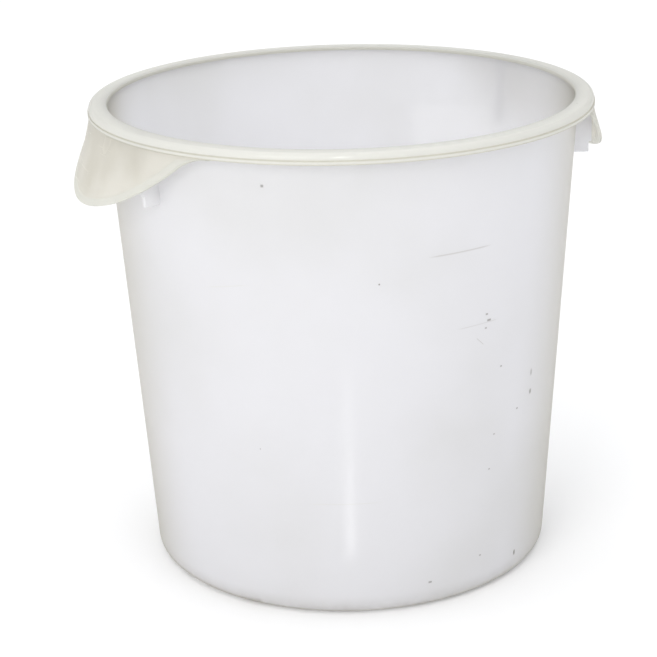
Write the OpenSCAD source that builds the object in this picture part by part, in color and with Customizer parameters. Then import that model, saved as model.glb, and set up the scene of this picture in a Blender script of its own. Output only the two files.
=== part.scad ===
// Round tapered storage tub with a turned-down rim and two moulded grips.
// Millimetres. +Z is up, the table is z = 0, the tub's axis is the Z axis,
// and the grips are on the -X and +X sides.

/* [Tub] */
// Inside diameter of the mouth, at the top of the rim
mouth_d = 302.6; // [240:0.2:400]
// Height from the table to the top of the rim
tub_h = 310; // [200:1:400]
// Draft of the side wall from the vertical, in degrees
wall_draft = 3.8; // [1:0.1:6]
// Thickness of the side wall
wall_t = 2.4; // [1.6:0.1:4]
// Thickness of the floor
floor_t = 2.8; // [1.8:0.1:5]
// Outside radius of the corner between the wall and the base
corner_r = 8; // [6:0.5:20]
// Inside radius of the corner between the wall and the floor
corner_in_r = 6; // [3:0.5:18]

/* [Foot] */
// Height of the foot ring below the floor
foot_h = 1.2; // [0.8:0.1:3]
// Radial width of the foot ring
foot_w = 8; // [4:0.5:20]
// Diameter of the trimmed gate in the middle of the underside
gate_d = 9; // [4:0.5:16]
// Height of the trimmed gate, clear of the table
gate_h = 0.7; // [0.3:0.1:0.7]

/* [Rim] */
// Radial width of the rim, from the mouth to the outer edge of its bead
rim_w = 12.7; // [10:0.1:20]
// Height of the rim, from its top to the lower edge of the band
rim_h = 7; // [6.2:0.1:14]
// Thickness of the rim's flat top and of its band
rim_t = 2.4; // [1.6:0.1:3]
// Radius of the rounded shoulder between the top and the band
shoulder_r = 3.2; // [3:0.1:3.4]
// Radius of the lip at the mouth
lip_r = 1.4; // [0.5:0.1:1.5]
// Height of the bead along the lower edge of the band
bead_h = 2.6; // [1.5:0.1:2.8]
// How far the bead stands out from the band
bead_out = 0.6; // [0.2:0.1:1]

/* [Grips] */
// Drop of each grip below the rim, at its middle
grip_drop = 44.5; // [35:0.5:60]
// Radius of the grip's lower edge, seen square on
grip_edge_r = 120; // [105:1:150]
// Radius of the run-outs where the lower edge turns up under the rim
runout_r = 27; // [12:1:35]
// Height of skirt left under the rim where a run-out ends
runout_land = 0.5; // [0.3:0.1:1.5]
// Thickness of the grip skirt
grip_t = 2; // [1.4:0.1:2.6]
// Flare of the skirt from the vertical at the rim, in degrees
flare_top = 10.5; // [5:0.1:16]
// Flare of the skirt from the vertical at its lower edge, in degrees
flare_low = 26; // [18:0.1:35]
// Width of the thickened edge along the skirt
hem_w = 4.5; // [2:0.5:6]
// How far the thickened edge stands proud of the skirt on each side
hem_out = 0.4; // [0.2:0.1:0.8]

/* [Lugs] */
// Angle of each lug from the middle of its grip, in degrees
lug_angle = 20.3; // [12:0.1:26]
// Thickness of a lug
lug_t = 3; // [2:0.1:5]
// Drop of a lug below the rim
lug_drop = 37.4; // [25:0.1:60]
// Reach of the lug's nose, in from the outer edge of the rim
lug_inset = 1.9; // [1:0.1:4]
// Height of the lug's nose, up to its step
lug_nose_h = 7; // [4:0.5:15]

/* [Hidden] */
$fn = 180;
// Overlap that lets a cutting shape run past the face it cuts
past = 1;

milk = [0.88, 0.89, 0.91];
cream = [0.91, 0.91, 0.86];
frost = [0.93, 0.93, 0.95];

// Radii of the wall's two faces at height z
function wall_in(z) = mouth_d / 2 - (tub_h - z) * tan(wall_draft);
function wall_out(z) = wall_in(z) + wall_t / cos(wall_draft);

// Rim: outer edge of the bead, face of the band, inside of the band, and three levels
rim_r = mouth_d / 2 + rim_w;
band_face = rim_r - bead_out;
band_in = band_face - rim_t;
flange_z = tub_h - rim_t;
shoulder_z = tub_h - shoulder_r;
band_z = tub_h - rim_h;

// Corner: each arc is tangent to its face of the wall and to a level below it
floor_top = foot_h + floor_t;
out_c = [wall_out(corner_r) - corner_r / cos(wall_draft), corner_r];
in_c = [wall_in(floor_top + corner_in_r) - corner_in_r / cos(wall_draft), floor_top + corner_in_r];
corner_top = max(out_c[1], in_c[1]);
foot_r = out_c[0];

// Grip skirt: an arc in section, which runs from flare_top to flare_low over the drop
flare_r = grip_drop / (sin(flare_low) - sin(flare_top));
skirt_r = band_in + grip_t / cos(flare_top);
flare_c = [skirt_r + flare_r * cos(flare_top), band_z + flare_r * sin(flare_top)];

// Grip outline seen square on: one large arc, and a run-out arc at each end
edge_c = [0, band_z - grip_drop + grip_edge_r];
runout_cz = band_z - runout_land - runout_r;
runout_c = [sqrt(pow(grip_edge_r + runout_r, 2) - pow(edge_c[1] - runout_cz, 2)), runout_cz];
runout_dir = (runout_c - edge_c) / norm(runout_c - edge_c);

// Lug: its lower end, its step, and the reach of its nose
lug_z = band_z - lug_drop;
lug_step_z = lug_z + lug_nose_h;
lug_nose_r = rim_r - lug_inset;

// What is cut from a square corner to round it: the corner is at the origin,
// and its sides run along +X and +Y
module corner_waste(r) {
    difference() {
        translate([-past, -past]) square(r + past);
        translate([r, r]) circle(r);
    }
}

module wall_section() {
    polygon([
        [wall_in(corner_top), corner_top],
        [wall_out(corner_top), corner_top],
        [wall_out(flange_z), flange_z],
        [wall_in(flange_z), flange_z]
    ]);
}

// The rounded corner, from the foot ring out to the wall and up to corner_top
module corner_section() {
    difference() {
        union() {
            intersection() {
                translate(out_c) circle(corner_r);
                translate([foot_r, 0]) square([corner_r, corner_r]);
            }
            polygon([
                out_c,
                out_c + corner_r * [cos(wall_draft), -sin(wall_draft)],
                [wall_out(corner_top), corner_top],
                [foot_r, corner_top]
            ]);
        }
        polygon([
            [foot_r - past, floor_top],
            [in_c[0], floor_top],
            in_c,
            in_c + corner_in_r * [cos(wall_draft), -sin(wall_draft)],
            [wall_in(corner_top + past), corner_top + past],
            [foot_r - past, corner_top + past]
        ]);
        translate(in_c) circle(corner_in_r);
    }
}

// The flat top of the rim, with the lip at the mouth and the shoulder outside
module rim_top_section() {
    difference() {
        polygon([
            [wall_in(flange_z), flange_z],
            [wall_in(tub_h), tub_h],
            [band_face, tub_h],
            [band_face, shoulder_z],
            [band_in, shoulder_z],
            [band_in, flange_z]
        ]);
        translate([wall_in(tub_h), tub_h]) mirror([0, 1]) corner_waste(lip_r);
        translate([band_face, tub_h]) rotate(180) corner_waste(shoulder_r);
    }
}

module rim_band_section() {
    translate([band_in, band_z]) square([rim_t, shoulder_z - band_z]);
    translate([band_in, band_z]) square([rim_t + bead_out, bead_h]);
}

// The skirt in section, extra mm thicker on each side than grip_t
module skirt_section(extra = 0) {
    intersection() {
        translate(flare_c) difference() {
            circle(flare_r + grip_t + extra, $fn = 720);
            circle(flare_r - extra, $fn = 720);
        }
        translate([band_in - past, band_z - grip_drop]) square([flare_c[0] - band_in, grip_drop]);
    }
}

// The grip's outline seen square on, drawn in by inset along its lower edge
module grip_outline(inset = 0) {
    touch = edge_c + (grip_edge_r - inset) * runout_dir;
    intersection() {
        translate(edge_c) circle(grip_edge_r - inset, $fn = 360);
        translate([-touch[0], band_z - grip_drop]) square([2 * touch[0], grip_drop]);
    }
    for (side = [0, 1]) mirror([side, 0]) difference() {
        translate(touch) square([runout_c[0] - touch[0], band_z - touch[1]]);
        translate(runout_c) circle(runout_r + inset);
    }
}

// An outline drawn in y and z, run out along +X from the tub's axis
module outward() {
    rotate([90, 0, 90]) linear_extrude(rim_r + grip_drop) children();
}

module skirt() {
    intersection() {
        rotate_extrude() skirt_section();
        outward() grip_outline(hem_w);
    }
}

module hem() {
    intersection() {
        rotate_extrude() skirt_section(hem_out);
        outward() difference() {
            grip_outline();
            grip_outline(hem_w);
        }
    }
}

// A lug in section: it fills the space under the rim, follows the inside of the
// skirt until that flares away, and ends in a nose set in by a step
module lug_section() {
    difference() {
        polygon([
            [wall_out(lug_z), lug_z],
            [lug_nose_r, lug_z],
            [lug_nose_r, lug_step_z],
            [rim_r, lug_step_z],
            [rim_r, band_z],
            [band_in, band_z],
            [band_in, flange_z],
            [wall_out(flange_z), flange_z]
        ]);
        intersection() {
            translate(flare_c) circle(flare_r + grip_t, $fn = 720);
            translate([band_in - past, band_z - grip_drop - past]) square([rim_w + past, grip_drop + past]);
        }
    }
}

module lug() {
    intersection() {
        rotate_extrude() lug_section();
        translate([0, -lug_t / 2, 0]) cube([rim_r + rim_w, lug_t, tub_h]);
    }
}

module side_wall() {
    color(milk) rotate_extrude() wall_section();
}

module base_corner() {
    color(milk) rotate_extrude() corner_section();
}

module floor_panel() {
    color(milk) translate([0, 0, foot_h]) cylinder(r = foot_r, h = floor_t);
}

module foot_ring() {
    color(milk) difference() {
        cylinder(r = foot_r, h = foot_h);
        translate([0, 0, -past]) cylinder(r = foot_r - foot_w, h = foot_h + 2 * past);
    }
}

module gate_nub() {
    color(milk) translate([0, 0, foot_h - gate_h]) cylinder(d = gate_d, h = gate_h);
}

module rim_top() {
    color(cream) rotate_extrude() rim_top_section();
}

module rim_band() {
    color(cream) rotate_extrude() rim_band_section();
}

// side is 0 for the grip at +X and 180 for the grip at -X
module grip(side) {
    color(frost) rotate(side) skirt();
}

module grip_edge(side) {
    color(frost) rotate(side) hem();
}

module grip_lug(side, turn) {
    color(frost) rotate(side + turn * lug_angle) lug();
}

side_wall();
base_corner();
floor_panel();
foot_ring();
gate_nub();
rim_top();
rim_band();
grip(180);  // grip_left
grip(0);  // grip_right
grip_edge(180);  // grip_edge_left
grip_edge(0);  // grip_edge_right
grip_lug(180, 1);  // lug_left_front
grip_lug(180, -1);  // lug_left_rear
grip_lug(0, -1);  // lug_right_front
grip_lug(0, 1);  // lug_right_rear
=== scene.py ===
import math
from collections import namedtuple

import bmesh
import bpy
from mathutils import Matrix, Vector


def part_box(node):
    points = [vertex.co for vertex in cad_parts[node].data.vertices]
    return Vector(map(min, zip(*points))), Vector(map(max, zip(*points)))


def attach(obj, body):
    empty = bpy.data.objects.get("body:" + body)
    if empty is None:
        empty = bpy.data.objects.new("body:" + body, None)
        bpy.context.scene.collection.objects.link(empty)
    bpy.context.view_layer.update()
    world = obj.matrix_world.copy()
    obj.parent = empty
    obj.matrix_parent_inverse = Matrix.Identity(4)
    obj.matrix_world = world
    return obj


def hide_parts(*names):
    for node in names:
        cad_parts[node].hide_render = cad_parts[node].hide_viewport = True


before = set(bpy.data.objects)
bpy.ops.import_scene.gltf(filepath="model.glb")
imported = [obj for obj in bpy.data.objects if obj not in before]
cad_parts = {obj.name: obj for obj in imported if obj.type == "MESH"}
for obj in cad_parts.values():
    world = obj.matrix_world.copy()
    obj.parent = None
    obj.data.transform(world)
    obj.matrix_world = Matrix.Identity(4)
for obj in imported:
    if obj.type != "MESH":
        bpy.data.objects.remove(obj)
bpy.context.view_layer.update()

MM = 0.001

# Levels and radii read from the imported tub, in metres
TUB_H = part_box("rim_top")[1].z
FLANGE_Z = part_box("side_wall")[1].z
BAND_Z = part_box("rim_band")[0].z
FLOOR_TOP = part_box("floor_panel")[1].z
FOOT_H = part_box("foot_ring")[1].z
FOOT_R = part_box("foot_ring")[1].x
GATE_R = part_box("gate_nub")[1].x
GATE_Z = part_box("gate_nub")[0].z
RIM_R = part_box("rim_band")[1].x
BAND_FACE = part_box("rim_top")[1].x
WALL_TOP_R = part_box("side_wall")[1].x

# Moulded sizes of the wall and the rim
WALL_DRAFT = math.radians(3.8)
WALL_T = 2.4 * MM
CORNER_R = 8 * MM
CORNER_IN_R = 6 * MM
FOOT_W = 8 * MM
LIP_R = 1.4 * MM
SHOULDER_R = 3.2 * MM
BEAD_H = 2.6 * MM
SOFT_EDGE = 0.3 * MM
BEAD_TOP = BAND_Z + BEAD_H
BAND_IN = BAND_FACE - (TUB_H - FLANGE_Z)

# Moulded sizes of the grips
GRIP_DROP = 44.5 * MM
GRIP_EDGE_R = 120 * MM
RUNOUT_R = 27 * MM
RUNOUT_LAND = 0.5 * MM
GRIP_T = 2 * MM
FLARE_TOP = math.radians(10.5)
FLARE_LOW = math.radians(26)
# The hem stands out by HEM_OUT, fades out between two distances from the edge, and is rounded
HEM_OUT = 0.4 * MM
HEM_FADE = (3.9 * MM, 5.1 * MM)
HEM_ROUND = 0.9 * MM
# Depth of skirt from which the hem has its full width
HEM_FULL_DEPTH = 9 * MM
HEM_ROWS = [d * MM for d in (0, 0.1, 0.3, 0.6, 0.9, 1.6, 3.9, 4.2, 4.5, 4.8, 5.1)]

# Moulded sizes of the plates behind the grips
LUG_ANGLE = math.radians(20.3)
LUG_T = 3 * MM
LUG_DROP = 37.4 * MM
LUG_INSET = 1.9 * MM
LUG_NOSE_H = 7 * MM
# How far a plate or a skirt is sunk into what carries it
SINK = 0.4 * MM

# Section of the skirt, and its outline seen square on
FLARE_R = GRIP_DROP / (math.sin(FLARE_LOW) - math.sin(FLARE_TOP))
FLARE_C = Vector((
    BAND_IN + GRIP_T / math.cos(FLARE_TOP) + FLARE_R * math.cos(FLARE_TOP),
    BAND_Z + FLARE_R * math.sin(FLARE_TOP),
))
RUNOUT_DZ = GRIP_EDGE_R - GRIP_DROP + RUNOUT_LAND + RUNOUT_R
RUNOUT_Y = math.sqrt((GRIP_EDGE_R + RUNOUT_R) ** 2 - RUNOUT_DZ ** 2)
TOUCH_Y = GRIP_EDGE_R * RUNOUT_Y / (GRIP_EDGE_R + RUNOUT_R)

# How finely the pieces are divided
LATHE_SIDES = 288
ARC_STEPS, SMALL_ARC_STEPS = 12, 4
SMALL_ARC_R = 1 * MM
SKIRT_COLUMNS, SKIRT_ROWS = 168, 18
PLATE_ROWS = 8
BEVEL_STEPS = 2
SMOOTH_BELOW = math.radians(40)
BEVEL_ABOVE = math.radians(60)
# A point nearer the axis than this is on it
ON_AXIS = SOFT_EDGE / 10

# The photograph's camera, in the tub's frame
CAMERA_AT = Vector((-458.1, -1156.9, 582.8)) * MM
CAMERA_AIM = Vector((-11.1, 4.4, 147.3)) * MM
CAMERA_ROLL = math.radians(-1.52)
CAMERA_LENS = 106.6
SENSOR = 36
PHOTO_SIZE = 657
VIEW_AZIMUTH = -21.6

# The lights: azimuth from the photograph's view, elevation and distance, then width and watts
KEY_AT, KEY_W, KEY_POWER = (-26, 27, 2.4), 1.1, 15
KEY_COLOUR = (1, 0.985, 0.96)
FLASH_AT, FLASH_W, FLASH_POWER = (0, 26, 1.5), 0.05, 5
# The strip lies in front of the wall and gives the upright streak
STRIP_OUT, STRIP_Z = 0.30, 0.012
STRIP_W, STRIP_LENGTH, STRIP_POWER = 0.011, 0.24, 0.07
SUN_POWER, SUN_WIDTH = 0.85, 1.2
SKY_COLOUR = (0.985, 0.99, 1, 1)
SKY_POWER, SKY_SEEN_MORE = 0.85, 0.25
# The bright patch inside the wall: its middle in the photograph, its width and height, and how
# far from the camera its light and the place that it is aimed at are
PATCH_AT = (456, 134)
PATCH_SIZE = (62 * MM, 42 * MM)
PATCH_FROM, PATCH_TO = 1.39, 2
PATCH_POWER = 0.0008
PATCH_SPREAD = math.radians(13)
FLOOR_REACH = 9


def tone(red, green, blue):
    """A colour given as it shows on a screen, made linear, with full alpha."""
    def linear(level):
        share = level / 255
        return share / 12.92 if share <= 0.04045 else ((share + 0.055) / 1.055) ** 2.4
    return (linear(red), linear(green), linear(blue), 1)


MILK = tone(246, 246, 248)
MILK_DULL = tone(239, 239, 239)
CREAM = tone(240, 240, 236)
# OLIVE serves as painted shade at low angles and along the rim's edges, and as tone and wear
OLIVE = tone(206, 202, 186)
FROST = tone(238, 236, 229)
FROST_HEM = tone(235, 235, 229)
WARM_GREY = tone(186, 182, 175)
SPECK = tone(112, 104, 96)
FLOOR_WHITE = tone(249, 249, 249)

# passes: share of light let through; clear: share seen straight through; slant: how far the
# colour turns olive as painted shade where the surface is seen at a low angle; rough: roughness
Finish = namedtuple("Finish", "passes clear slant rough")
MILKY_FINISH = Finish(passes=0.6, clear=0, slant=0.7, rough=0.2)
CREAM_FINISH = Finish(passes=0.45, clear=0, slant=0.15, rough=0.14)
FROSTED_FINISH = Finish(passes=0.5, clear=0.1, slant=0.25, rough=0.25)
PLATE_FINISH = Finish(passes=0.3, clear=0, slant=0.3, rough=0.2)
FLOOR_ROUGH = 0.8

# What all the plastics share
PLASTIC_IOR = 1.51
# Facing value from which the painted olive shade at low angles starts
GRAZING_SHADE_FROM = 0.45
RIPPLE, GRAIN = 0.5, 0.05
DULL_ROUGHER, RUBBED_ROUGHER = 0.03, 0.2
BUMP_STRENGTH, BUMP_DEPTH = 0.35, 1.2 * MM

# Scales of the patterns, in cycles a metre
RIPPLE_SCALE, GRAIN_SCALE, DULL_SCALE = 16, 1100, 20
LINE_PATCH_SCALE, SPECK_SCALE = 9, 42
LEVEL_LINES = {"scale": 6, "detail": 3, "stretch": (3, 3, 170)}
UPRIGHT_LINES = {"scale": 7, "detail": 3, "stretch": (120, 120, 2)}
# A cell of the pattern holds a speck if its random value is above this
SPECK_CHOSEN = 0.72
SPECK_EDGE = (0.035, 0.015)

# Marks seen on the wall: angle and half span in degrees, height, slope and width in mm, strength
DARK_MARKS = (
    (-83.5, 9.21, 239.9, 3, 0.7, 0.35),
    (-141.6, 4.97, 2.5, 11, 3.5, 0.4),
    (-77.7, 6.71, 190.0, 2, 0.5, 0.22),
    (-77.1, 1.3, 178.4, -135, 0.5, 0.4),
)
PALE_MARKS = (
    (-113.0, 10.38, 79.5, 2, 0.5, 0.5),
    (-140.5, 6.3, 221.0, 26, 0.5, 0.5),
)
SPECK_MARKS = (
    (-129.7, 0.4, 287.0, 0, 1.3, 0.55),
    (-75.4, 0.45, 195.5, 0, 0.9, 0.5),
    (-74.6, 0.7, 191.2, 0, 1.0, 0.6),
    (-75.5, 0.4, 186.4, 0, 0.8, 0.45),
    (-69.6, 0.4, 157.2, 0, 0.8, 0.5),
    (-56.0, 0.6, 129.7, 0, 2.4, 0.55),
    (-56.2, 0.5, 143.1, 0, 3.2, 0.35),
    (-62.0, 0.45, 122.7, 0, 0.8, 0.5),
    (-70.8, 0.4, 111.4, 0, 0.7, 0.4),
    (-71.9, 0.4, 87.7, 0, 0.7, 0.45),
    (-73.6, 0.4, 27.1, 0, 0.8, 0.45),
    (-58.5, 0.5, 16.1, 0, 2.6, 0.7),
    (-89.8, 0.6, 17.8, 0, 1.0, 0.55),
)
MARK_INPUTS = ("Angle", "Half span", "Height", "Slope", "Width")


def add(tree, kind, inputs=None, **settings):
    """A new node in a tree; an input is a constant, or a socket that is linked to it."""
    made = tree.nodes.new(kind)
    for key, value in settings.items():
        setattr(made, key, value)
    for key, value in (inputs or {}).items():
        if isinstance(value, bpy.types.NodeSocket):
            tree.links.new(value, made.inputs[key])
        else:
            made.inputs[key].default_value = value
    return made


def calc(tree, operation, first, second=0.0, clamp=False):
    inputs = {0: first, 1: second}
    return add(tree, "ShaderNodeMath", inputs, operation=operation, use_clamp=clamp).outputs[0]


def fade(tree, value, start, end):
    """0 up to start and 1 from end, with a smooth step between; start may be above end."""
    inputs = {"Value": value, "From Min": start, "From Max": end}
    node = add(tree, "ShaderNodeMapRange", inputs, interpolation_type="SMOOTHSTEP")
    return node.outputs["Result"]


def blend(tree, share, first, second, strength=1):
    """The first colour, turned to the second by a share, which may be weakened."""
    if strength != 1:
        share = calc(tree, "MULTIPLY", share, strength)
    node = add(tree, "ShaderNodeMix", {0: share, 6: first, 7: second}, data_type="RGBA")
    return node.outputs[2]


def noise(tree, position, scale, detail=2.0, stretch=None):
    if stretch:
        inputs = {"Vector": position, "Scale": stretch}
        position = add(tree, "ShaderNodeMapping", inputs).outputs[0]
    inputs = {"Vector": position, "Scale": scale, "Detail": detail}
    return add(tree, "ShaderNodeTexNoise", inputs).outputs[0]


def clouds(tree, position, scale):
    return fade(tree, noise(tree, position, scale, 3), 0.4, 0.75)


def new_group(name, inputs, outputs):
    """An empty shader group with float inputs and outputs, and a Position input."""
    tree = bpy.data.node_groups.new(name, "ShaderNodeTree")
    tree.interface.new_socket(name="Position", in_out="INPUT", socket_type="NodeSocketVector")
    for label in inputs:
        tree.interface.new_socket(name=label, in_out="INPUT", socket_type="NodeSocketFloat")
    for label in outputs:
        tree.interface.new_socket(name=label, in_out="OUTPUT", socket_type="NodeSocketFloat")
    return tree, add(tree, "NodeGroupInput").outputs, add(tree, "NodeGroupOutput")


def use_group(tree, group, position, **values):
    """A group in a material, with its inputs set; an underscore stands for a space in a name."""
    node = add(tree, "ShaderNodeGroup", node_tree=group)
    tree.links.new(position, node.inputs["Position"])
    for label, value in values.items():
        node.inputs[label.replace("_", " ")].default_value = value
    return node.outputs


def moulded_skin_group():
    """Broad unevenness and fine grain of a moulded surface, and where it is duller."""
    tree, given, result = new_group("moulded_skin", ("Ripple", "Grain"), ("Height", "Dullness"))
    at = given["Position"]
    ripple = calc(tree, "MULTIPLY", noise(tree, at, RIPPLE_SCALE), given["Ripple"])
    grain = calc(tree, "MULTIPLY", noise(tree, at, GRAIN_SCALE, 3), given["Grain"])
    dull = fade(tree, noise(tree, at, DULL_SCALE), 0.3, 0.75)
    tree.links.new(calc(tree, "ADD", ripple, grain), result.inputs["Height"])
    tree.links.new(dull, result.inputs["Dullness"])
    return tree


def handling_group():
    """Fine rubbed lines and sparse specks left by washing and stacking."""
    tree, given, result = new_group("handling", ("Lines", "Specks"), ("Rubbed", "Specked"))
    at = given["Position"]
    level = fade(tree, noise(tree, at, **LEVEL_LINES), 0.64, 0.74)
    upright = fade(tree, noise(tree, at, **UPRIGHT_LINES), 0.68, 0.78)
    patches = fade(tree, noise(tree, at, LINE_PATCH_SCALE), 0.45, 0.7)
    lines = calc(tree, "MULTIPLY", calc(tree, "MAXIMUM", level, upright), patches)
    cells = add(tree, "ShaderNodeTexVoronoi", {"Vector": at, "Scale": SPECK_SCALE}).outputs
    dots = fade(tree, cells["Distance"], *SPECK_EDGE)
    specks = calc(tree, "MULTIPLY", dots, calc(tree, "GREATER_THAN", cells["Color"], SPECK_CHOSEN))
    rubbed = calc(tree, "MULTIPLY", lines, given["Lines"])
    specked = calc(tree, "MULTIPLY", specks, given["Specks"])
    tree.links.new(rubbed, result.inputs["Rubbed"])
    tree.links.new(specked, result.inputs["Specked"])
    return tree


def stroke_group():
    """One mark round the wall: its middle's angle and height, half its span, slope and width."""
    tree, given, result = new_group("stroke", MARK_INPUTS, ("Mark",))
    place = add(tree, "ShaderNodeSeparateXYZ", {0: given["Position"]}).outputs
    angle = calc(tree, "ARCTAN2", place[1], place[0])
    along = calc(tree, "SUBTRACT", angle, given["Angle"])
    level = calc(tree, "ADD", calc(tree, "MULTIPLY", along, given["Slope"]), given["Height"])
    off = calc(tree, "ABSOLUTE", calc(tree, "SUBTRACT", place[2], level))
    within = calc(tree, "DIVIDE", calc(tree, "ABSOLUTE", along), given["Half span"])
    across = calc(tree, "DIVIDE", off, given["Width"])
    mark = calc(tree, "MULTIPLY", fade(tree, within, 1.0, 0.6), fade(tree, across, 1.0, 0.2))
    tree.links.new(mark, result.inputs["Mark"])
    return tree


SKIN = moulded_skin_group()
HANDLING = handling_group()
STROKE = stroke_group()


def marks(tree, position, rows):
    """Where any mark of a table is, from 0 to its strength."""
    total = None
    for angle, half, height, slope, width, strength in rows:
        values = (math.radians(angle), math.radians(half), height * MM, slope * MM, width * MM)
        given = {label.replace(" ", "_"): value for label, value in zip(MARK_INPUTS, values)}
        found = use_group(tree, STROKE, position, **given)["Mark"]
        mark = calc(tree, "MULTIPLY", found, strength)
        total = mark if total is None else calc(tree, "MAXIMUM", total, mark)
    return total


def start_material(name):
    material = bpy.data.materials.new(name)
    material.use_nodes = True
    tree = material.node_tree
    tree.nodes.clear()
    position = add(tree, "ShaderNodeTexCoord").outputs["Object"]
    return material, tree, position


def handling(tree, position, lines, specks):
    outputs = use_group(tree, HANDLING, position, Lines=lines, Specks=specks)
    return outputs["Rubbed"], outputs["Specked"]


def plastic(tree, position, colour, finish, rubbed):
    """The plastic's shader: a finish, duller where it is rubbed, with painted olive shade where it
    is seen at a low angle.
    """
    facing = add(tree, "ShaderNodeLayerWeight", {"Blend": 0.5}).outputs["Facing"]
    # Painted olive shade where the surface is seen at a low angle
    colour = blend(tree, fade(tree, facing, GRAZING_SHADE_FROM, 1.0), colour, OLIVE, finish.slant)
    skin = use_group(tree, SKIN, position, Ripple=RIPPLE, Grain=GRAIN)
    rough = calc(tree, "MULTIPLY", skin["Dullness"], DULL_ROUGHER)
    rough = calc(tree, "ADD", rough, finish.rough)
    rough = calc(tree, "ADD", rough, calc(tree, "MULTIPLY", rubbed, RUBBED_ROUGHER), clamp=True)
    bump = {"Height": skin["Height"], "Strength": BUMP_STRENGTH, "Distance": BUMP_DEPTH}
    normal = add(tree, "ShaderNodeBump", bump).outputs[0]
    inputs = {"Base Color": colour, "Roughness": rough, "Normal": normal, "IOR": PLASTIC_IOR}
    body = add(tree, "ShaderNodeBsdfPrincipled", inputs).outputs[0]
    glow = add(tree, "ShaderNodeBsdfTranslucent", {"Color": colour, "Normal": normal}).outputs[0]
    mixed = add(tree, "ShaderNodeMixShader", {0: finish.passes, 1: body, 2: glow}).outputs[0]
    if finish.clear:
        through = add(tree, "ShaderNodeBsdfTransparent").outputs[0]
        inputs = {0: finish.clear, 1: mixed, 2: through}
        mixed = add(tree, "ShaderNodeMixShader", inputs).outputs[0]
    add(tree, "ShaderNodeOutputMaterial", {"Surface": mixed})


def milky_plastic():
    """The wall and floor: milky white, duller in clouds, darker grey in noisy patches near the
    foot, with the marks.
    """
    material, tree, position = start_material("milky_plastic")
    height = add(tree, "ShaderNodeSeparateXYZ", {0: position}).outputs[2]
    rubbed, specked = handling(tree, position, 0.35, 0.8)
    # Darker grey in noisy patches towards the bottom, within 14 mm of it
    low = fade(tree, height, 14 * MM, 1 * MM)
    foot = calc(tree, "MULTIPLY", low, noise(tree, position, 90, 4))
    colour = blend(tree, clouds(tree, position, 7), MILK, MILK_DULL, 0.7)
    colour = blend(tree, foot, colour, WARM_GREY, 0.5)
    colour = blend(tree, rubbed, colour, MILK_DULL, 0.4)
    colour = blend(tree, marks(tree, position, PALE_MARKS), colour, CREAM)
    colour = blend(tree, marks(tree, position, DARK_MARKS), colour, WARM_GREY)
    colour = blend(tree, marks(tree, position, SPECK_MARKS), colour, SPECK)
    colour = blend(tree, specked, colour, SPECK)
    plastic(tree, position, colour, MILKY_FINISH, rubbed)
    return material


def cream_plastic():
    """The rim: creamier than the wall, with painted olive shade along its lip, its groove and its
    lower edge.
    """
    material, tree, position = start_material("cream_plastic")
    height = add(tree, "ShaderNodeSeparateXYZ", {0: position}).outputs[2]
    # Painted shade under the band's lower edge, in the groove over the bead and along the inner lip
    low_edge_shade = fade(tree, height, BAND_Z + 1.3 * MM, BAND_Z)
    off_groove = calc(tree, "ABSOLUTE", calc(tree, "SUBTRACT", height, BEAD_TOP))
    groove = fade(tree, off_groove, 0.8 * MM, 0.1 * MM)
    flat = {0: position, 1: (1, 1, 0)}
    flat = add(tree, "ShaderNodeVectorMath", flat, operation="MULTIPLY").outputs[0]
    radius = add(tree, "ShaderNodeVectorMath", {0: flat}, operation="LENGTH").outputs["Value"]
    lip = fade(tree, radius, WALL_TOP_R - WALL_T + LIP_R, WALL_TOP_R - WALL_T)
    edge = calc(tree, "MAXIMUM", low_edge_shade, calc(tree, "MULTIPLY", groove, 0.8))
    edge = calc(tree, "MAXIMUM", edge, calc(tree, "MULTIPLY", lip, 0.6))
    rubbed, specked = handling(tree, position, 0.5, 0.5)
    # The edge mask turns the rim olive as painted shade
    colour = blend(tree, edge, CREAM, OLIVE, 0.75)
    colour = blend(tree, rubbed, colour, OLIVE, 0.5)
    colour = blend(tree, specked, colour, SPECK)
    plastic(tree, position, colour, CREAM_FINISH, rubbed)
    return material


def frosted_plastic():
    """The grips: thin and warm, a little see-through, with a tone of its own along the hem."""
    material, tree, position = start_material("frosted_plastic")
    hem = add(tree, "ShaderNodeAttribute", attribute_name="hem").outputs["Fac"]
    rubbed, specked = handling(tree, position, 0.5, 0.5)
    colour = blend(tree, clouds(tree, position, 22), FROST, OLIVE, 0.35)
    colour = blend(tree, hem, colour, FROST_HEM)
    colour = blend(tree, rubbed, colour, OLIVE, 0.4)
    colour = blend(tree, specked, colour, SPECK)
    plastic(tree, position, colour, FROSTED_FINISH, rubbed)
    return material


def plate_plastic():
    """The plates behind the grips: the wall's plastic, which lets less light through."""
    material, tree, position = start_material("plate_plastic")
    rubbed, specked = handling(tree, position, 0.4, 0.3)
    colour = blend(tree, rubbed, MILK, MILK_DULL, 0.4)
    colour = blend(tree, specked, colour, SPECK)
    plastic(tree, position, colour, PLATE_FINISH, rubbed)
    return material


def floor_paint():
    material, tree, position = start_material("floor_paint")
    colour = blend(tree, noise(tree, position, 2, 3), FLOOR_WHITE, MILK_DULL, 0.05)
    inputs = {"Base Color": colour, "Roughness": FLOOR_ROUGH}
    body = add(tree, "ShaderNodeBsdfPrincipled", inputs).outputs[0]
    add(tree, "ShaderNodeOutputMaterial", {"Surface": body})
    return material


def wall_out(z):
    return WALL_TOP_R - (FLANGE_Z - z) * math.tan(WALL_DRAFT)


def wall_in(z):
    return wall_out(z) - WALL_T / math.cos(WALL_DRAFT)


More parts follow.
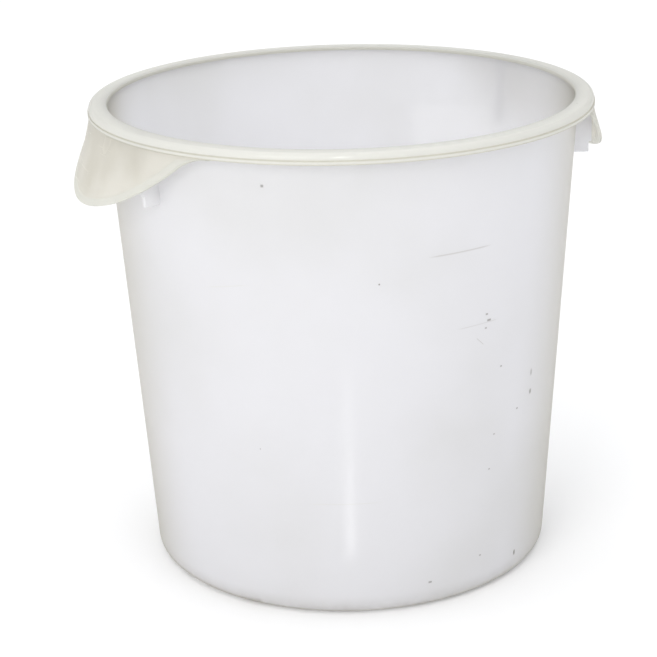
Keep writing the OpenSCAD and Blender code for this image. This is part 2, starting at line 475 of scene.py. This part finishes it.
def rounded(corners):
    """Points of an outline whose corners are given as radius from the axis, height and rounding."""
    points = []
    for k, (r, z, rounding) in enumerate(corners):
        here = Vector((r, z))
        if rounding == 0:
            points.append(here)
            continue
        before = (Vector(corners[k - 1][:2]) - here).normalized()
        after = (Vector(corners[(k + 1) % len(corners)][:2]) - here).normalized()
        half = before.angle(after) / 2
        centre = here + (before + after).normalized() * (rounding / math.sin(half))
        start = here + before * (rounding / math.tan(half)) - centre
        end = here + after * (rounding / math.tan(half)) - centre
        first = math.atan2(start.y, start.x)
        turn = (math.atan2(end.y, end.x) - first + math.pi) % (2 * math.pi) - math.pi
        steps = ARC_STEPS if rounding > SMALL_ARC_R else SMALL_ARC_STEPS
        for step in range(steps + 1):
            angle = first + turn * step / steps
            points.append(centre + rounding * Vector((math.cos(angle), math.sin(angle))))
    return points


def lathe(outline, closed):
    """A solid turned from an outline; a point on the axis becomes a pole."""
    bm = bmesh.new()
    turns = [2 * math.pi * k / LATHE_SIDES for k in range(LATHE_SIDES)]
    rings = []
    for r, z in outline:
        if r < ON_AXIS:
            rings.append([bm.verts.new((0, 0, z))])
        else:
            rings.append([bm.verts.new((r * math.cos(a), r * math.sin(a), z)) for a in turns])
    pairs = list(zip(rings, rings[1:]))
    if closed:
        pairs.append((rings[-1], rings[0]))
    for low, high in pairs:
        for k in range(LATHE_SIDES):
            n = (k + 1) % LATHE_SIDES
            lower = [low[k % len(low)], low[n % len(low)]]
            upper = [high[n % len(high)], high[k % len(high)]]
            bm.faces.new(list(dict.fromkeys(lower + upper)))
    return bm


def make_piece(name, bm, material, slot, *nodes):
    """The finished piece: closed, facing outwards, riding on the tub in place of its CAD nodes."""
    bmesh.ops.recalc_face_normals(bm, faces=bm.faces)
    mesh = bpy.data.meshes.new(name)
    bm.to_mesh(mesh)
    bm.free()
    mesh.shade_smooth()
    mesh.set_sharp_from_angle(angle=SMOOTH_BELOW)
    mesh.materials.append(material)
    piece = bpy.data.objects.new(name, mesh)
    bpy.context.scene.collection.objects.link(piece)
    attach(piece, "root")
    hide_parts(*nodes)


def tub_body():
    """Floor, inside, wall, rounded corner, foot ring and the trimmed gate below."""
    foot_in = FOOT_R - FOOT_W
    return lathe(rounded([
        (0, FLOOR_TOP, 0),
        (wall_in(FLOOR_TOP), FLOOR_TOP, CORNER_IN_R),
        (wall_in(FLANGE_Z), FLANGE_Z, 0),
        (wall_out(FLANGE_Z), FLANGE_Z, 0),
        (wall_out(0), 0, CORNER_R),
        (foot_in, 0, SOFT_EDGE),
        (foot_in, FOOT_H, SOFT_EDGE),
        (GATE_R, FOOT_H, SOFT_EDGE / 2),
        (GATE_R, GATE_Z, SOFT_EDGE / 2),
        (0, GATE_Z, 0),
    ]), closed=False)


def rim():
    """The flat top with its lip, the rounded shoulder, and the band with its bead."""
    return lathe(rounded([
        (wall_in(FLANGE_Z), FLANGE_Z, 0),
        (wall_in(TUB_H), TUB_H, LIP_R),
        (BAND_FACE, TUB_H, SHOULDER_R),
        (BAND_FACE, BEAD_TOP, SOFT_EDGE / 2),
        (RIM_R, BEAD_TOP, SOFT_EDGE),
        (RIM_R, BAND_Z, 2 * SOFT_EDGE),
        (BAND_IN, BAND_Z, 2 * SOFT_EDGE),
        (BAND_IN, FLANGE_Z, 2 * SOFT_EDGE),
        (wall_out(FLANGE_Z), FLANGE_Z, 0),
    ]), closed=True)


def skirt_r(z, inward):
    """Radius of the skirt at a height, inward from its outer face."""
    return FLARE_C.x - math.sqrt((FLARE_R + inward) ** 2 - (z - FLARE_C.y) ** 2)


def edge_depth(y):
    """Depth of the skirt's lower edge below the band, y to the side of the grip's middle."""
    if abs(y) <= TOUCH_Y:
        return GRIP_DROP - GRIP_EDGE_R + math.sqrt(GRIP_EDGE_R ** 2 - y ** 2)
    reach = max(0.0, RUNOUT_Y - abs(y))
    return RUNOUT_LAND + RUNOUT_R - math.sqrt(RUNOUT_R ** 2 - reach ** 2)


def hem_share(distance):
    """1 in the hem and 0 above it, with a smooth step between."""
    share = min(1, max(0, (HEM_FADE[1] - distance) / (HEM_FADE[1] - HEM_FADE[0])))
    return share * share * (3 - 2 * share)


def skirt_column(y):
    """Rows up the skirt at y: height above its edge, how far it swells, and its share of hem."""
    depth = edge_depth(y)
    probe = 0.1 * MM
    slope = (edge_depth(y + probe) - edge_depth(y - probe)) / (2 * probe)
    stretch = min(1, depth / HEM_FULL_DEPTH) * math.sqrt(1 + slope * slope)
    rows = []
    for distance in HEM_ROWS:
        cut = 0
        if distance < HEM_ROUND:
            cut = HEM_ROUND - math.sqrt(HEM_ROUND ** 2 - (HEM_ROUND - distance) ** 2)
        share = hem_share(distance)
        rows.append((distance * stretch, HEM_OUT * share - cut, share))
    base = rows[-1][0]
    for k in range(1, SKIRT_ROWS + 1):
        rows.append((base + (depth + SINK - base) * k / SKIRT_ROWS, 0, 0))
    return depth, rows


def skirt(side):
    """One grip, a flared skirt with a rounded hem, closed all round; side is 1 at +X, -1 at -X."""
    bm = bmesh.new()
    hem = bm.verts.layers.float.new("hem")
    loops = []
    for i in range(SKIRT_COLUMNS + 1):
        y = RUNOUT_Y * math.sin(math.pi * (i / SKIRT_COLUMNS - 0.5))
        depth, rows = skirt_column(y)
        outer, inner = [], []
        for rise, swell, share in rows:
            z = BAND_Z - depth + rise
            for face, inward in ((outer, -swell), (inner, GRIP_T + swell)):
                x = math.sqrt(skirt_r(z, inward) ** 2 - y * y)
                vert = bm.verts.new((side * x, side * y, z))
                vert[hem] = share
                face.append(vert)
        loops.append(outer + inner[::-1])
    count = len(loops[0])
    for first, second in zip(loops, loops[1:]):
        for k in range(count):
            n = (k + 1) % count
            bm.faces.new((first[k], first[n], second[n], second[k]))
    for loop in (loops[0], loops[-1]):
        for k in range(count // 2 - 1):
            bm.faces.new((loop[k], loop[k + 1], loop[count - 2 - k], loop[count - 1 - k]))
    return bm


def plate(angle):
    """One stepped plate between the wall and the grip, standing square to the wall at an angle."""
    low = BAND_Z - LUG_DROP
    step = low + LUG_NOSE_H
    nose_r = RIM_R - LUG_INSET
    outline = [(wall_out(low) - SINK, low), (nose_r, low), (nose_r, step), (RIM_R, step)]
    for k in range(1, PLATE_ROWS + 1):
        z = step + (BAND_Z - step) * k / PLATE_ROWS
        outline.append((min(RIM_R, skirt_r(z, GRIP_T) + SINK), z))
    outline += [(BAND_IN + SINK, FLANGE_Z + SINK), (wall_out(FLANGE_Z) - SINK, FLANGE_Z + SINK)]
    bm = bmesh.new()
    front = [bm.verts.new((r, -LUG_T / 2, z)) for r, z in outline]
    back = [bm.verts.new((r, LUG_T / 2, z)) for r, z in outline]
    bm.faces.new(front)
    bm.faces.new(back)
    for k in range(len(outline)):
        n = (k + 1) % len(outline)
        bm.faces.new((front[k], front[n], back[n], back[k]))
    bmesh.ops.recalc_face_normals(bm, faces=bm.faces)
    crisp = [edge for edge in bm.edges if edge.calc_face_angle(0) > BEVEL_ABOVE]
    bmesh.ops.bevel(bm, geom=crisp, offset=SOFT_EDGE, segments=BEVEL_STEPS, affect="EDGES",
                    clamp_overlap=True)
    bmesh.ops.triangulate(bm, faces=[face for face in bm.faces if len(face.verts) > 4])
    bm.transform(Matrix.Rotation(angle, 4, "Z"))
    return bm


def make_tub():
    milky, cream = milky_plastic(), cream_plastic()
    frosted, plates = frosted_plastic(), plate_plastic()
    body_nodes = ("side_wall", "base_corner", "floor_panel", "foot_ring", "gate_nub")
    make_piece("tub_body", tub_body(), milky, "tub_milky", *body_nodes)
    make_piece("rim", rim(), cream, "rim_cream", "rim_top", "rim_band")
    for name, side in (("left", -1), ("right", 1)):
        nodes = (f"grip_{name}", f"grip_edge_{name}")
        make_piece(f"skirt_{name}", skirt(side), frosted, "grip_frosted", *nodes)
        for end, turn in (("front", -side), ("rear", side)):
            solid = plate((math.pi if side < 0 else 0) + turn * LUG_ANGLE)
            lug = f"lug_{name}_{end}"
            make_piece(f"plate_{name}_{end}", solid, plates, "grip_frosted", lug)


def around(azimuth, elevation, distance):
    """A place about the tub's middle, at an azimuth positive to the right of the photo's view."""
    turn, rise = math.radians(VIEW_AZIMUTH + azimuth), math.radians(elevation)
    flat = distance * math.cos(rise)
    height = TUB_H / 2 + distance * math.sin(rise)
    return Vector((flat * math.sin(turn), -flat * math.cos(turn), height))


def camera_axes():
    """The camera's right, up and forward directions."""
    forward = (CAMERA_AIM - CAMERA_AT).normalized()
    level = forward.cross(Vector((0, 0, 1))).normalized()
    upright = level.cross(forward)
    right = level * math.cos(CAMERA_ROLL) + upright * math.sin(CAMERA_ROLL)
    up = upright * math.cos(CAMERA_ROLL) - level * math.sin(CAMERA_ROLL)
    return right, up, forward


def sight(x, y, distance):
    """The place seen at a pixel of the photograph, at a distance from the camera."""
    right, up, forward = camera_axes()
    focal = CAMERA_LENS / SENSOR * PHOTO_SIZE
    ray = forward * focal + right * (x - PHOTO_SIZE / 2) - up * (y - PHOTO_SIZE / 2)
    return CAMERA_AT + ray.normalized() * distance


def panel_light(name, at, width, height, watts, aim=None, shine_only=False):
    """A rectangle of light aimed at the tub's middle or at a place; it may only give shine."""
    lamp = bpy.data.lights.new(name, "AREA")
    lamp.shape = "RECTANGLE"
    lamp.size, lamp.size_y = width, height
    lamp.energy = watts
    made = bpy.data.objects.new(name, lamp)
    made.location = at
    aim = aim or Vector((0, 0, TUB_H / 2))
    made.rotation_euler = (aim - at).to_track_quat("-Z", "Y").to_euler()
    made.visible_camera = False
    if shine_only:
        made.visible_diffuse = made.visible_transmission = False
    bpy.context.scene.collection.objects.link(made)
    return made


def set_lights():
    key = panel_light("key_panel", around(*KEY_AT), KEY_W, KEY_W, KEY_POWER)
    key.data.color = KEY_COLOUR
    flash_at = around(*FLASH_AT)
    panel_light("camera_flash", flash_at, FLASH_W, FLASH_W, FLASH_POWER, shine_only=True)
    patch_from, patch_to = sight(*PATCH_AT, PATCH_FROM), sight(*PATCH_AT, PATCH_TO)
    window = panel_light("window_patch", patch_from, *PATCH_SIZE, PATCH_POWER, aim=patch_to)
    window.data.spread = PATCH_SPREAD
    strip_at = around(0, 0, STRIP_OUT)
    strip_at.z = STRIP_Z
    strip = panel_light("floor_strip", strip_at, STRIP_W, STRIP_LENGTH, STRIP_POWER,
                        shine_only=True)
    strip.rotation_euler = (math.pi, 0, math.radians(VIEW_AZIMUTH))
    sun = bpy.data.lights.new("overhead", "SUN")
    sun.energy = SUN_POWER
    sun.angle = SUN_WIDTH
    bpy.context.scene.collection.objects.link(bpy.data.objects.new("overhead", sun))


def set_world():
    world = bpy.data.worlds.new("studio")
    world.use_nodes = True
    tree = world.node_tree
    tree.nodes.clear()
    seen = add(tree, "ShaderNodeLightPath").outputs["Is Camera Ray"]
    strength = calc(tree, "ADD", calc(tree, "MULTIPLY", seen, SKY_SEEN_MORE), SKY_POWER)
    sky = add(tree, "ShaderNodeBackground", {"Color": SKY_COLOUR, "Strength": strength})
    add(tree, "ShaderNodeOutputWorld", {"Surface": sky.outputs[0]})
    bpy.context.scene.world = world


def set_floor():
    bm = bmesh.new()
    bmesh.ops.create_grid(bm, x_segments=8, y_segments=8, size=FLOOR_REACH)
    mesh = bpy.data.meshes.new("floor")
    bm.to_mesh(mesh)
    bm.free()
    mesh.materials.append(floor_paint())
    floor = bpy.data.objects.new("floor", mesh)
    bpy.context.scene.collection.objects.link(floor)


def set_camera():
    lens = bpy.data.cameras.new("camera")
    lens.lens = CAMERA_LENS
    lens.sensor_width = SENSOR
    lens.clip_start, lens.clip_end = 0.05, 60
    camera = bpy.data.objects.new("camera", lens)
    bpy.context.scene.collection.objects.link(camera)
    right, up, forward = camera_axes()
    turn = Matrix((right, up, -forward)).transposed().to_4x4()
    camera.matrix_world = Matrix.Translation(CAMERA_AT) @ turn
    bpy.context.scene.camera = camera
    bpy.context.scene.view_settings.view_transform = "Standard"


set_camera()
set_world()
set_lights()
set_floor()
make_tub()
